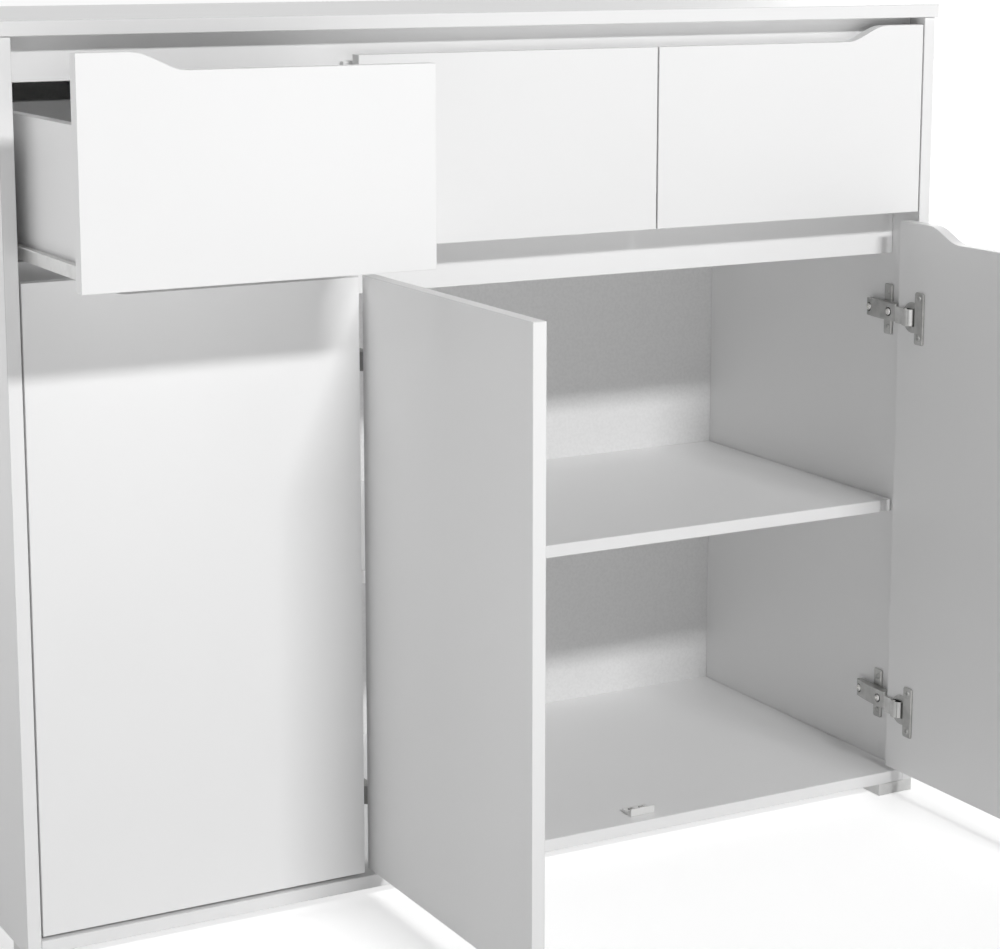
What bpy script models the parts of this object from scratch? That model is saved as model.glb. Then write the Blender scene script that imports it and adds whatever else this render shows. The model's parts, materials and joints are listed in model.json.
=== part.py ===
"""Sideboard with three drawers over three doors, modelled piece by piece.

Metres, +Z up. The front faces look along -Y. The drawer on the left stands part way
out, and the middle and right doors stand open at a right angle. The origin is on the
floor, in the middle of the box around the sideboard in that pose.
"""

import math

import bmesh
import bpy
from mathutils import Matrix, Vector

# Carcass. WIDTH is over the side panels; the top panel stands proud of them
WIDTH = 1.140
DEPTH = 0.450
HEIGHT = 0.970
BOARD = 0.015
TOP_OVERHANG = 0.003
FOOT_HEIGHT = 0.015
FOOT_SIZE = 0.050
FOOT_INSET = 0.0005
BACK_FACE = 0.442
BACK_THICKNESS = 0.003
GROOVE_DEPTH = 0.006
TOP_RAIL_FACE = 0.027
TOP_RAIL_HEIGHT = 0.046
MID_RAIL_FACE = 0.050
MID_RAIL_TOP = 0.729
MID_RAIL_HEIGHT = 0.0587
DIVIDER_FACE = 0.020
DIVIDER_NOTCH = 0.034
SHELF_TOP = 0.366
SHELF_FACE = 0.038
SHELF_PLAY = 0.001

# Fronts: three equal drawer fronts over three equal doors, flush with the carcass.
# A scooped top edge leaves room for the fingers
FRONT_GAP = 0.002
DRAWER_TOP_GAP = 0.0085
DRAWER_FRONT_HEIGHT = 0.221
DOOR_TOP_GAP = 0.0113
DOOR_BOTTOM_GAP = 0.0044
SCOOP_DEPTH = 0.018
SCOOP_START = 0.052
SCOOP_RUN = 0.058
SCOOP_STEPS = 12

# Drawer boxes, measured from the front's outer face and the box's lower edge
DRAWER_OUT = 0.179
RUNNER_SPACE = 0.0125
BOX_BOTTOM = 0.7355
BOX_HEIGHT = 0.143
BOX_END = 0.385
BOX_BOARD = 0.012
BASE_LIFT = 0.010
BASE_THICKNESS = 0.003
BASE_GROOVE = 0.006

# Runners: folded steel sections. Across is measured outward from the drawer's side,
# and up from the box's lower edge
RUNNER_LENGTH = 0.350
STEEL = 0.0012
RUNNER_FOOT = 0.012
RUNNER_WEB = 0.0145
RUNNER_LIP = 0.0085
CHANNEL_BOTTOM = -0.006
CHANNEL_TOP = 0.018
CHANNEL_LIP = 0.004

# Doors turn about an upright axis, set in from the hinge edge and behind the outer face
OPEN = math.radians(90)
SIDE_AXIS = (0.00625, 0.00425)
DIVIDER_AXIS = (0.00967, 0.0023)
HINGE_LEVELS = (0.114, 0.601)

# The hinge's cup on the door, and its arm on the carcass
CUP_CENTRE = 0.028
CUP_RADIUS = 0.0172
CUP_DEPTH = 0.0110
CUP_WALL = 0.0012
CUP_FLANGE = (0.033, 0.050)
CUP_FLANGE_HEIGHT = 0.063
CUP_FLANGE_TOP = 0.0015
LINK_TOP = 0.0035
LINK_WIDTH = 0.020
HUMP_TOP = 0.0085
PLATE_HEIGHT = 0.062
PLATE_SPAN = (0.044, 0.060)
PLATE_THICKNESS = 0.002
ARM_WIDTH = 0.022
ARM_SPAN = (0.0212, 0.086)
ARM_THICKNESS = 0.0155

# Door stop, screwed to the bottom panel between the middle and right doors
STOP_WIDTH = 0.032
STOP_SPAN = (0.0163, 0.038)
STOP_THICKNESS = 0.004
STOP_HEIGHT = 0.009

GAP = 0.0003
SOFT_EDGE = 0.0006
ROUND_SIDES = 40

# Places that follow. x is from the middle, y from the fronts' outer faces, z from the
# floor
LEFT = -WIDTH / 2
INNER = (LEFT + BOARD, WIDTH / 2 - BOARD)
FRONT_WIDTH = (INNER[1] - INNER[0] - 4 * FRONT_GAP) / 3
FRONT_LEFTS = [INNER[0] + FRONT_GAP + i * (FRONT_WIDTH + FRONT_GAP) for i in range(3)]
DIVIDERS = [FRONT_LEFTS[i] - FRONT_GAP / 2 for i in (1, 2)]
DIVIDER_FACES = [(x - BOARD / 2, x + BOARD / 2) for x in DIVIDERS]
BAYS = [
    (INNER[0], DIVIDER_FACES[0][0]),
    (DIVIDER_FACES[0][1], DIVIDER_FACES[1][0]),
    (DIVIDER_FACES[1][1], INNER[1]),
]
TOP_UNDERSIDE = HEIGHT - BOARD
FLOOR_TOP = FOOT_HEIGHT + BOARD
TOP_RAIL_BACK = TOP_RAIL_FACE + BOARD
MID_RAIL_BACK = MID_RAIL_FACE + BOARD
MID_PANEL_TOP = MID_RAIL_TOP - GAP
DRAWER_FRONT_TOP = TOP_UNDERSIDE - DRAWER_TOP_GAP
DRAWER_FRONT_BOTTOM = DRAWER_FRONT_TOP - DRAWER_FRONT_HEIGHT
DOOR_TOP = DRAWER_FRONT_BOTTOM - DOOR_TOP_GAP
DOOR_BOTTOM = FLOOR_TOP + DOOR_BOTTOM_GAP
DOOR_REACH = FRONT_WIDTH - sum(SIDE_AXIS)
FRONT_Y = (DOOR_REACH - DEPTH) / 2

WHITE_BOARD = ((0.80, 0.80, 0.79), 0.38, 0.0)
WHITE_BACK = ((0.74, 0.74, 0.73), 0.55, 0.0)
WHITE_PLASTIC = ((0.72, 0.72, 0.71), 0.45, 0.0)
COATED_STEEL = ((0.70, 0.70, 0.69), 0.40, 0.6)
PLATED_STEEL = ((0.60, 0.59, 0.57), 0.28, 1.0)

PARTS = "sideboard"
CUTTERS = "cutters"


def clear_scene():
    """Remove the scene's objects and start the two collections."""
    for obj in list(bpy.data.objects):
        bpy.data.objects.remove(obj, do_unlink=True)
    for name in (PARTS, CUTTERS):
        bpy.context.scene.collection.children.link(bpy.data.collections.new(name))


def finish_material(name, finish):
    """A Principled material of its own for one piece."""
    colour, roughness, metallic = finish
    material = bpy.data.materials.new(name)
    material.use_nodes = True
    shader = material.node_tree.nodes["Principled BSDF"]
    shader.inputs["Base Color"].default_value = (*colour, 1.0)
    shader.inputs["Roughness"].default_value = roughness
    shader.inputs["Metallic"].default_value = metallic
    return material


def frame_at(name, location, angle=0.0):
    """An empty that carries the pieces of one body."""
    empty = bpy.data.objects.new(name, None)
    bpy.data.collections[PARTS].objects.link(empty)
    empty.location = location
    empty.rotation_euler = (0.0, 0.0, angle)
    return empty


def add_piece(name, mesh, parent, finish):
    """Put a mesh in the parts collection, in its body's frame."""
    piece = bpy.data.objects.new(name, mesh)
    bpy.data.collections[PARTS].objects.link(piece)
    piece.parent = parent
    mesh.materials.append(finish_material(name, finish))
    return piece


def soften(piece, width=SOFT_EDGE):
    """Round a piece's edges slightly."""
    bevel = piece.modifiers.new("soft edges", "BEVEL")
    bevel.width = width
    bevel.segments = 2
    bevel.limit_method = "ANGLE"
    bevel.angle_limit = math.radians(40)
    return piece


def box_mesh(name, low, high):
    """A block between two corners."""
    low, high = Vector(low), Vector(high)
    shape = bmesh.new()
    bmesh.ops.create_cube(shape, size=1.0)
    bmesh.ops.scale(shape, vec=high - low, verts=shape.verts)
    bmesh.ops.translate(shape, vec=(low + high) / 2, verts=shape.verts)
    mesh = bpy.data.meshes.new(name)
    shape.to_mesh(mesh)
    shape.free()
    return mesh


def board(name, low, high, parent, finish=WHITE_BOARD):
    """A board between two corners, with softened edges."""
    return soften(add_piece(name, box_mesh(name, low, high), parent, finish))


def outline_mesh(name, points, thickness, placing):
    """A flat outline, thick either side of its plane, placed by a matrix."""
    outline = bpy.data.curves.new(name, "CURVE")
    outline.dimensions = "2D"
    outline.fill_mode = "BOTH"
    outline.extrude = thickness / 2
    spline = outline.splines.new("POLY")
    spline.points.add(len(points) - 1)
    for corner, (across, up) in zip(spline.points, points):
        corner.co = (across, up, 0.0, 1.0)
    spline.use_cyclic_u = True
    drawn = bpy.data.objects.new(name, outline)
    bpy.data.collections[PARTS].objects.link(drawn)
    depsgraph = bpy.context.evaluated_depsgraph_get()
    mesh = bpy.data.meshes.new_from_object(drawn.evaluated_get(depsgraph))
    bpy.data.objects.remove(drawn, do_unlink=True)
    shape = bmesh.new()
    shape.from_mesh(mesh)
    bmesh.ops.remove_doubles(shape, verts=shape.verts, dist=0.00001)
    bmesh.ops.dissolve_limit(shape, angle_limit=0.001, verts=shape.verts, edges=shape.edges)
    bmesh.ops.transform(shape, matrix=placing, verts=shape.verts)
    bmesh.ops.recalc_face_normals(shape, faces=shape.faces)
    shape.to_mesh(mesh)
    shape.free()
    mesh.name = name
    return mesh


def cylinder_mesh(name, centre, radius, low_y, high_y):
    """A round bar along y."""
    shape = bmesh.new()
    bmesh.ops.create_cone(
        shape, cap_ends=True, segments=ROUND_SIDES, radius1=radius, radius2=radius,
        depth=high_y - low_y, matrix=Matrix.Rotation(math.radians(90), 4, "X"),
    )
    middle = Vector((centre[0], (low_y + high_y) / 2, centre[1]))
    bmesh.ops.translate(shape, vec=middle, verts=shape.verts)
    mesh = bpy.data.meshes.new(name)
    shape.to_mesh(mesh)
    shape.free()
    return mesh


def combine(piece, mesh, operation):
    """Cut a mesh out of a piece, or join it on, with a Boolean modifier."""
    tool = bpy.data.objects.new(mesh.name, mesh)
    bpy.data.collections[CUTTERS].objects.link(tool)
    tool.parent = piece.parent
    tool.hide_render = True
    tool.display_type = "WIRE"
    boolean = piece.modifiers.new(mesh.name, "BOOLEAN")
    boolean.operation = operation
    boolean.solver = "EXACT"
    boolean.object = tool


def cut_box(piece, low, high):
    """Cut a block-shaped space out of a piece."""
    combine(piece, box_mesh(piece.name + "_cut", low, high), "DIFFERENCE")


# Placings for outlines: drawn in (x, z), in (y, z) or in (y, x)
STANDING = Matrix.Rotation(math.radians(90), 4, "X")
SIDEWAYS = Matrix(((0, 0, 1, 0), (1, 0, 0, 0), (0, 1, 0, 0), (0, 0, 0, 1)))
PLAN = Matrix(((0, 1, 0, 0), (1, 0, 0, 0), (0, 0, -1, 0), (0, 0, 0, 1)))


def carcass_panels(frame):
    """Top, sides and bottom, grooved for the back panel, and the back panel itself."""
    groove = (BACK_FACE - GAP, BACK_FACE + BACK_THICKNESS + GAP)
    edge = WIDTH / 2 + TOP_OVERHANG
    top = board(
        "top_panel", (-edge, -TOP_OVERHANG, TOP_UNDERSIDE), (edge, DEPTH, HEIGHT), frame)
    cut_box(
        top, (INNER[0] - GROOVE_DEPTH, groove[0], TOP_UNDERSIDE - BOARD),
        (INNER[1] + GROOVE_DEPTH, groove[1], TOP_UNDERSIDE + GROOVE_DEPTH))
    for name, outer, inner in (("side_left", LEFT, INNER[0]), ("side_right", -LEFT, INNER[1])):
        inward = math.copysign(1.0, -outer)
        side = board(
            name, (min(outer, inner), 0.0, FOOT_HEIGHT),
            (max(outer, inner), DEPTH, TOP_UNDERSIDE - GAP), frame)
        faces = sorted((inner - inward * GROOVE_DEPTH, inner + inward * BOARD))
        cut_box(
            side, (faces[0], groove[0], 0.0), (faces[1], groove[1], HEIGHT))
    bottom = board(
        "bottom_panel", (INNER[0] + GAP, 0.0, FOOT_HEIGHT), (INNER[1] - GAP, DEPTH, FLOOR_TOP), frame)
    cut_box(
        bottom, (LEFT, groove[0], FLOOR_TOP - GROOVE_DEPTH), (-LEFT, groove[1], HEIGHT))
    tongue = GROOVE_DEPTH - GAP
    add_piece("back_panel", box_mesh(
        "back_panel", (INNER[0] - tongue, BACK_FACE, FLOOR_TOP - tongue),
        (INNER[1] + tongue, BACK_FACE + BACK_THICKNESS, TOP_UNDERSIDE + tongue),
    ), frame, WHITE_BACK)


def divider(name, middle, bottom, frame):
    """An upright between two bays, notched for the fingers and around the top rail."""
    rail_bottom = TOP_UNDERSIDE - TOP_RAIL_HEIGHT
    outline = [
        (DIVIDER_FACE, bottom),
        (BACK_FACE - GAP, bottom),
        (BACK_FACE - GAP, TOP_UNDERSIDE - GAP),
        (TOP_RAIL_BACK + GAP, TOP_UNDERSIDE - GAP),
        (TOP_RAIL_BACK + GAP, rail_bottom - GAP),
        (TOP_RAIL_FACE - GAP, rail_bottom - GAP),
        (TOP_RAIL_FACE - GAP, TOP_UNDERSIDE - DIVIDER_NOTCH),
        (DIVIDER_FACE, TOP_UNDERSIDE - DIVIDER_NOTCH),
    ]
    placing = Matrix.Translation((middle, 0.0, 0.0)) @ SIDEWAYS
    soften(add_piece(name, outline_mesh(name, outline, BOARD, placing), frame, WHITE_BOARD))


def carcass_inside(frame):
    """Dividers, the panel under the two right drawers, rails and shelves."""
    divider("divider_full", DIVIDERS[0], FLOOR_TOP + GAP, frame)
    divider("divider_short", DIVIDERS[1], MID_RAIL_TOP + GAP, frame)
    board(
        "mid_panel", (BAYS[1][0] + GAP, MID_RAIL_BACK + GAP, MID_PANEL_TOP - BOARD),
        (INNER[1] - GAP, BACK_FACE - GAP, MID_PANEL_TOP), frame)
    board(
        "top_rail", (INNER[0] + GAP, TOP_RAIL_FACE, TOP_UNDERSIDE - TOP_RAIL_HEIGHT),
        (INNER[1] - GAP, TOP_RAIL_BACK, TOP_UNDERSIDE - GAP), frame)
    sections = (("left", BAYS[0]), ("right", (BAYS[1][0], INNER[1])))
    for side, (start, end) in sections:
        board(
            "mid_rail_" + side, (start + GAP, MID_RAIL_FACE, MID_RAIL_TOP - MID_RAIL_HEIGHT),
            (end - GAP, MID_RAIL_BACK, MID_RAIL_TOP), frame)
        board(
            "shelf_" + side, (start + SHELF_PLAY, SHELF_FACE, SHELF_TOP - BOARD),
            (end - SHELF_PLAY, BACK_FACE - GAP, SHELF_TOP), frame)


def feet(frame):
    """Four blocks under the corners."""
    starts_x = {"left": LEFT + FOOT_INSET, "right": -LEFT - FOOT_INSET - FOOT_SIZE}
    starts_y = {"front": FOOT_INSET, "rear": DEPTH - FOOT_INSET - FOOT_SIZE}
    for row, y in starts_y.items():
        for side, x in starts_x.items():
            board(
                f"foot_{row}_{side}", (x, y, 0.0),
                (x + FOOT_SIZE, y + FOOT_SIZE, FOOT_HEIGHT - GAP), frame, WHITE_PLASTIC)


def door_stop(frame):
    """A flat foot with a low upstand that the two doors close against."""
    base = FLOOR_TOP + GAP
    start, end = STOP_SPAN
    outline = [
        (start, base),
        (end, base),
        (end, base + STOP_THICKNESS),
        (start + STOP_THICKNESS, base + STOP_THICKNESS),
        (start + STOP_THICKNESS / 2, base + STOP_HEIGHT),
        (start, base + STOP_HEIGHT),
    ]
    placing = Matrix.Translation((DIVIDERS[1], 0.0, 0.0)) @ SIDEWAYS
    mesh = outline_mesh("door_stop", outline, STOP_WIDTH, placing)
    soften(add_piece("door_stop", mesh, frame, WHITE_PLASTIC), SOFT_EDGE / 2)


def front_outline(start, width, bottom, top, full_end):
    """A front's outline: high at one end, or low all along, with an S between levels."""
    low = top - SCOOP_DEPTH
    if full_end == "none":
        return [(start, bottom), (start + width, bottom), (start + width, low), (start, low)]
    slope = []
    for step in range(SCOOP_STEPS + 1):
        part = step / SCOOP_STEPS
        drop = SCOOP_DEPTH * (1 - math.cos(math.pi * part)) / 2
        slope.append((SCOOP_START + SCOOP_RUN * part, top - drop))
    upper = [(0.0, top)] + slope + [(width, low)]
    if full_end == "left":
        upper = [(start + across, up) for across, up in reversed(upper)]
    else:
        upper = [(start + width - across, up) for across, up in upper]
    return [(start, bottom), (start + width, bottom)] + upper


def front_board(name, outline, front_face, frame):
    """A drawer front or a door, cut from board to an outline."""
    placing = Matrix.Translation((0.0, front_face + BOARD / 2, 0.0)) @ STANDING
    mesh = outline_mesh(name, outline, BOARD, placing)
    return soften(add_piece(name, mesh, frame, WHITE_BOARD))


def section_outline(points, side_face, outward):
    """A runner's section, placed against one side of a drawer box."""
    return [(side_face + outward * across, BOX_BOTTOM + up) for across, up in points]


def folded_steel(name, points, start, frame):
    """A steel section drawn out along y."""
    placing = Matrix.Translation((0.0, start + RUNNER_LENGTH / 2, 0.0)) @ STANDING
    mesh = outline_mesh(name, points, RUNNER_LENGTH, placing)
    return add_piece(name, mesh, frame, COATED_STEEL)


def drawer(name, bay, front_left, full_end, out, carcass):
    """One drawer with its runners, and the channels that carry it in the carcass."""
    frame = frame_at("drawer_" + name, (0.0, FRONT_Y - out, 0.0))
    inner_face = BOARD + GAP
    outline = front_outline(
        front_left, FRONT_WIDTH, DRAWER_FRONT_BOTTOM, DRAWER_FRONT_TOP, full_end)
    front = front_board("drawer_front_" + name, outline, 0.0, frame)

    faces = (bay[0] + RUNNER_SPACE, bay[1] - RUNNER_SPACE)
    box_top = BOX_BOTTOM + BOX_HEIGHT
    base_low = BOX_BOTTOM + BASE_LIFT
    base_high = base_low + BASE_THICKNESS
    inside = (faces[0] + BOX_BOARD, faces[1] - BOX_BOARD)
    groove_low = (inside[0] - BASE_GROOVE, BOARD - BASE_GROOVE, base_low - GAP)
    groove_high = (inside[1] + BASE_GROOVE, BOX_END - BOX_BOARD + BASE_GROOVE, base_high + GAP)

    sides = {
        "left": (faces[0], inside[0]),
        "right": (inside[1], faces[1]),
    }
    for side, (low_x, high_x) in sides.items():
        panel = board(
            f"drawer_side_{name}_{side}", (low_x, inner_face, BOX_BOTTOM),
            (high_x, BOX_END, box_top), frame)
        cut_box(panel, (groove_low[0], 0.0, groove_low[2]), groove_high)
    back = board(
        "drawer_back_" + name, (inside[0] + GAP, BOX_END - BOX_BOARD, BOX_BOTTOM),
        (inside[1] - GAP, BOX_END, box_top), frame)
    for grooved in (front, back):
        cut_box(grooved, groove_low, groove_high)
    add_piece("drawer_bottom_" + name, box_mesh(
        "drawer_bottom_" + name,
        (groove_low[0] + GAP, groove_low[1] + GAP, base_low),
        (groove_high[0] - GAP, groove_high[1] - GAP, base_high),
    ), frame, WHITE_BACK)

    for side, face, outward in (("left", faces[0], -1.0), ("right", faces[1], 1.0)):
        member = [
            (-RUNNER_FOOT, -GAP - STEEL),
            (GAP + STEEL, -GAP - STEEL),
            (GAP + STEEL, RUNNER_WEB - STEEL),
            (RUNNER_LIP, RUNNER_WEB - STEEL),
            (RUNNER_LIP, RUNNER_WEB),
            (GAP, RUNNER_WEB),
            (GAP, -GAP),
            (-RUNNER_FOOT, -GAP),
        ]
        folded_steel(
            f"drawer_runner_{name}_{side}", section_outline(member, face, outward),
            inner_face + GAP, frame)
        web = RUNNER_SPACE - GAP
        channel = [
            (CHANNEL_LIP, CHANNEL_BOTTOM),
            (web, CHANNEL_BOTTOM),
            (web, CHANNEL_TOP),
            (CHANNEL_LIP, CHANNEL_TOP),
            (CHANNEL_LIP, CHANNEL_TOP - STEEL),
            (web - STEEL, CHANNEL_TOP - STEEL),
            (web - STEEL, CHANNEL_BOTTOM + STEEL),
            (CHANNEL_LIP, CHANNEL_BOTTOM + STEEL),
        ]
        folded_steel(
            f"cabinet_runner_{name}_{side}", section_outline(channel, face, outward),
            MID_RAIL_BACK + GAP, carcass)


def hinge_cup(name, level, swing, inset, face_y, link_start, hump_start, frame):
    """The cup with its flange and the link that comes out of it, on a door.

    Along is measured from the door's hinge edge, and above from its inner face.
    """
    def place_x(along):
        return swing * (along - inset)

    centre = (place_x(CUP_CENTRE), level)
    mesh = cylinder_mesh(name, centre, CUP_RADIUS, face_y - CUP_DEPTH, face_y + CUP_FLANGE_TOP)
    cup = add_piece(name, mesh, frame, PLATED_STEEL)
    flange = sorted(place_x(along) for along in CUP_FLANGE)
    half = CUP_FLANGE_HEIGHT / 2
    combine(cup, box_mesh(
        name + "_flange", (flange[0], face_y + GAP, level - half),
        (flange[1], face_y + CUP_FLANGE_TOP, level + half)), "UNION")
    floor = face_y - CUP_DEPTH + CUP_WALL
    combine(cup, cylinder_mesh(
        name + "_pocket", centre, CUP_RADIUS - CUP_WALL, floor, face_y + HUMP_TOP), "DIFFERENCE")
    underside = CUP_FLANGE_TOP - GAP
    sunk = CUP_WALL / 2 - CUP_DEPTH
    profile = [
        (link_start, underside),
        (link_start, LINK_TOP),
        (hump_start, LINK_TOP),
        (hump_start + 0.003, HUMP_TOP),
        (hump_start + 0.009, HUMP_TOP),
        (hump_start + 0.014, underside),
        (hump_start + 0.014, sunk),
        (hump_start + 0.007, sunk),
        (hump_start + 0.007, underside),
    ]
    outline = [(face_y + above, place_x(along)) for along, above in profile]
    placing = Matrix.Translation((0.0, 0.0, level)) @ PLAN
    combine(cup, outline_mesh(name + "_link", outline, LINK_WIDTH, placing), "UNION")


def hinge_arm(name, level, panel_face, inward, frame):
    """The arm and its mounting plate, on a side panel or a divider."""
    def place_x(away):
        return panel_face + inward * away

    plate = sorted((place_x(GAP), place_x(GAP + PLATE_THICKNESS)))
    half = PLATE_HEIGHT / 2
    arm = add_piece(name, box_mesh(
        name, (plate[0], PLATE_SPAN[0], level - half), (plate[1], PLATE_SPAN[1], level + half)),
        frame, PLATED_STEEL)
    start, end = ARM_SPAN
    under = PLATE_THICKNESS
    profile = [
        (start, ARM_THICKNESS * 0.45),
        (start + 0.010, under),
        (end, under),
        (end, ARM_THICKNESS * 0.55),
        (end - 0.012, ARM_THICKNESS * 0.8),
        (start + 0.016, ARM_THICKNESS),
        (start + 0.004, ARM_THICKNESS),
        (start, ARM_THICKNESS * 0.8),
    ]
    outline = [(y, place_x(away)) for y, away in profile]
    placing = Matrix.Translation((0.0, 0.0, level)) @ PLAN
    combine(arm, outline_mesh(name + "_body", outline, ARM_WIDTH, placing), "UNION")


def door(name, front_left, full_end, swing, axis, angle, hinges, carcass):
    """One door with its hinge cups, and the arms that carry it in the carcass.

    swing is +1 for a door hinged at its left edge and -1 at its right.
    """
    inset, behind = axis
    hinge_edge = front_left if swing > 0 else front_left + FRONT_WIDTH
    pivot_x = hinge_edge + swing * inset
    frame = frame_at("door_" + name, (pivot_x, FRONT_Y + behind, 0.0), angle)
    start = front_left - pivot_x
    outline = front_outline(start, FRONT_WIDTH, DOOR_BOTTOM, DOOR_TOP, full_end)
    panel = front_board("door_panel_" + name, outline, -behind, frame)
    inner_face = BOARD - behind
    for place, level in zip(("lower", "upper"), HINGE_LEVELS):
        centre = (swing * (CUP_CENTRE - inset), level)
        combine(panel, cylinder_mesh(
            f"cup_bore_{name}_{place}", centre, CUP_RADIUS + GAP,
            inner_face - CUP_DEPTH - GAP, inner_face + BOARD), "DIFFERENCE")
        hinge_cup(
            f"hinge_cup_{name}_{place}", level, swing, inset, inner_face,
            hinges["link_start"], hinges["hump_start"], frame)
        hinge_arm(f"hinge_arm_{name}_{place}", level, hinges["panel_face"], swing, carcass)


def build():
    """The whole sideboard."""
    clear_scene()
    carcass = frame_at("carcass", (0.0, FRONT_Y, 0.0))
    carcass_panels(carcass)
    carcass_inside(carcass)
    feet(carcass)
    door_stop(carcass)

    names = ("left", "middle", "right")
    full_ends = ("left", "none", "right")
    for name, bay, front_left, full_end in zip(names, BAYS, FRONT_LEFTS, full_ends):
        out = DRAWER_OUT if name == "left" else 0.0
        drawer(name, bay, front_left, full_end, out, carcass)

    side_link = {"link_start": -0.0015, "hump_start": 0.015}
    divider_link = {"link_start": 0.005, "hump_start": 0.0235}
    door(
        "left", FRONT_LEFTS[0], "left", 1.0, SIDE_AXIS, 0.0,
        side_link | {"panel_face": INNER[0]}, carcass)
    door(
        "middle", FRONT_LEFTS[1], "none", 1.0, DIVIDER_AXIS, -OPEN,
        divider_link | {"panel_face": BAYS[1][0]}, carcass)
    door(
        "right", FRONT_LEFTS[2], "right", -1.0, SIDE_AXIS, OPEN,
        side_link | {"panel_face": INNER[1]}, carcass)


build()
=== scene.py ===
"""Looks for the white sideboard: materials, detailed hinges, rollers, screws and pins, light and camera."""
import json
import math

import bmesh
import bpy
from mathutils import Matrix, Vector

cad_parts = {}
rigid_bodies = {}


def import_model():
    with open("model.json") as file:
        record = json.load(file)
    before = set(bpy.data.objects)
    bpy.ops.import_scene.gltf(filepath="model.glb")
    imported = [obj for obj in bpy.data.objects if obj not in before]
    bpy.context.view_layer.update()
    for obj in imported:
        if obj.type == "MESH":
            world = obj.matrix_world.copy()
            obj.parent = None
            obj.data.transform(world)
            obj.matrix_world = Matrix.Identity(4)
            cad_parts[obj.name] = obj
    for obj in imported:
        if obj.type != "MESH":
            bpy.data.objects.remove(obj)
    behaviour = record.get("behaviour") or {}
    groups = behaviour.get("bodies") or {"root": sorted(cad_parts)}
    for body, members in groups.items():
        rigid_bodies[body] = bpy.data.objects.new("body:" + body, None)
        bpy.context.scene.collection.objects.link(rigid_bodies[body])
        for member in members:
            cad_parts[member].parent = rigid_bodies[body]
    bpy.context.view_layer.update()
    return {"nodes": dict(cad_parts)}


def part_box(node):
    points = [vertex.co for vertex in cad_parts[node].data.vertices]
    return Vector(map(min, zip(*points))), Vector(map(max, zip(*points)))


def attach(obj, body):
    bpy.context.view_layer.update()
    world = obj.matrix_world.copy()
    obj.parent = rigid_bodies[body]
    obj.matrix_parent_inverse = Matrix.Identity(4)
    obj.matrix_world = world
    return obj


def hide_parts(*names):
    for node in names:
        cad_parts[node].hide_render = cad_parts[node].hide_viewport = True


for old in list(bpy.data.objects):
    bpy.data.objects.remove(old, do_unlink=True)
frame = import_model()

MM = 0.001
X, Y, Z = Vector((1, 0, 0)), Vector((0, 1, 0)), Vector((0, 0, 1))
SWAP_OUT_AND_UP = Matrix(((1, 0, 0, 0), (0, 0, 1, 0), (0, 1, 0, 0), (0, 0, 0, 1)))
DOORS = ("left", "middle", "right")
LEVELS = ("lower", "upper")

MELAMINE_WHITE = (0.89, 0.89, 0.89)
HARDBOARD_WHITE = (0.88, 0.88, 0.88)
PLASTIC_WHITE = (0.80, 0.80, 0.79)
NYLON_WHITE = (0.86, 0.86, 0.84)
NICKEL_GREY = (0.50, 0.50, 0.49)
LINK_PAINTED_LIGHT_GREY = (0.68, 0.68, 0.67)
ZINC_GREY = (0.88, 0.87, 0.85)
NEAR_BLACK = (0.012, 0.012, 0.013)
PURE_WHITE = (1.0, 1.0, 1.0, 1.0)


# ---------------------------------------------------------------- materials

def new_material(name, colour, roughness, metallic=0.0, specular=0.5):
    """A Principled material with its plain values set on the shader's own sockets."""
    material = bpy.data.materials.new(name)
    material.use_nodes = True
    shader = material.node_tree.nodes["Principled BSDF"]
    shader.inputs["Base Color"].default_value = (*colour, 1.0)
    shader.inputs["Roughness"].default_value = roughness
    shader.inputs["Metallic"].default_value = metallic
    shader.inputs["Specular IOR Level"].default_value = specular
    return material


def add_node(material, kind, **settings):
    """A node in a material or world, with its properties and input values set by name."""
    node = material.node_tree.nodes.new(kind)
    for name, value in settings.items():
        if hasattr(node, name):
            setattr(node, name, value)
        else:
            node.inputs[name.replace("_", " ")].default_value = value
    return node


def join(material, source, target):
    """Link two sockets."""
    material.node_tree.links.new(source, target)


def object_noise(material, scale, detail=2.0, stretch=(1.0, 1.0, 1.0)):
    """Noise fixed to the object, in cycles a metre, optionally drawn out along an axis."""
    place = add_node(material, "ShaderNodeTexCoord")
    mapping = add_node(material, "ShaderNodeMapping")
    mapping.inputs["Scale"].default_value = stretch
    noise = add_node(material, "ShaderNodeTexNoise", Scale=scale, Detail=detail)
    join(material, place.outputs["Object"], mapping.inputs["Vector"])
    join(material, mapping.outputs["Vector"], noise.inputs["Vector"])
    return noise.outputs["Fac"]


def vary_roughness(material, source, low, high):
    """Let a pattern vary the roughness between two values."""
    spread = add_node(material, "ShaderNodeMapRange")
    spread.inputs["To Min"].default_value = low
    spread.inputs["To Max"].default_value = high
    join(material, source, spread.inputs["Value"])
    shader = material.node_tree.nodes["Principled BSDF"]
    join(material, spread.outputs["Result"], shader.inputs["Roughness"])


def bump(material, source, strength, distance):
    """Raise the surface by a pattern."""
    relief = add_node(material, "ShaderNodeBump", Strength=strength, Distance=distance)
    join(material, source, relief.inputs["Height"])
    shader = material.node_tree.nodes["Principled BSDF"]
    join(material, relief.outputs["Normal"], shader.inputs["Normal"])


def scaled(colour, share):
    """A colour with each channel multiplied by a share."""
    return tuple(share * value for value in colour)


def colour_ramp(material, source, stops):
    """A ramp of (place, colour) stops."""
    ramp = add_node(material, "ShaderNodeValToRGB")
    while len(ramp.color_ramp.elements) < len(stops):
        ramp.color_ramp.elements.new(0.5)
    for element, (place, colour) in zip(ramp.color_ramp.elements, stops):
        element.position = place
        element.color = (*colour, 1.0)
    join(material, source, ramp.inputs["Fac"])
    return ramp.outputs["Color"]


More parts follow.
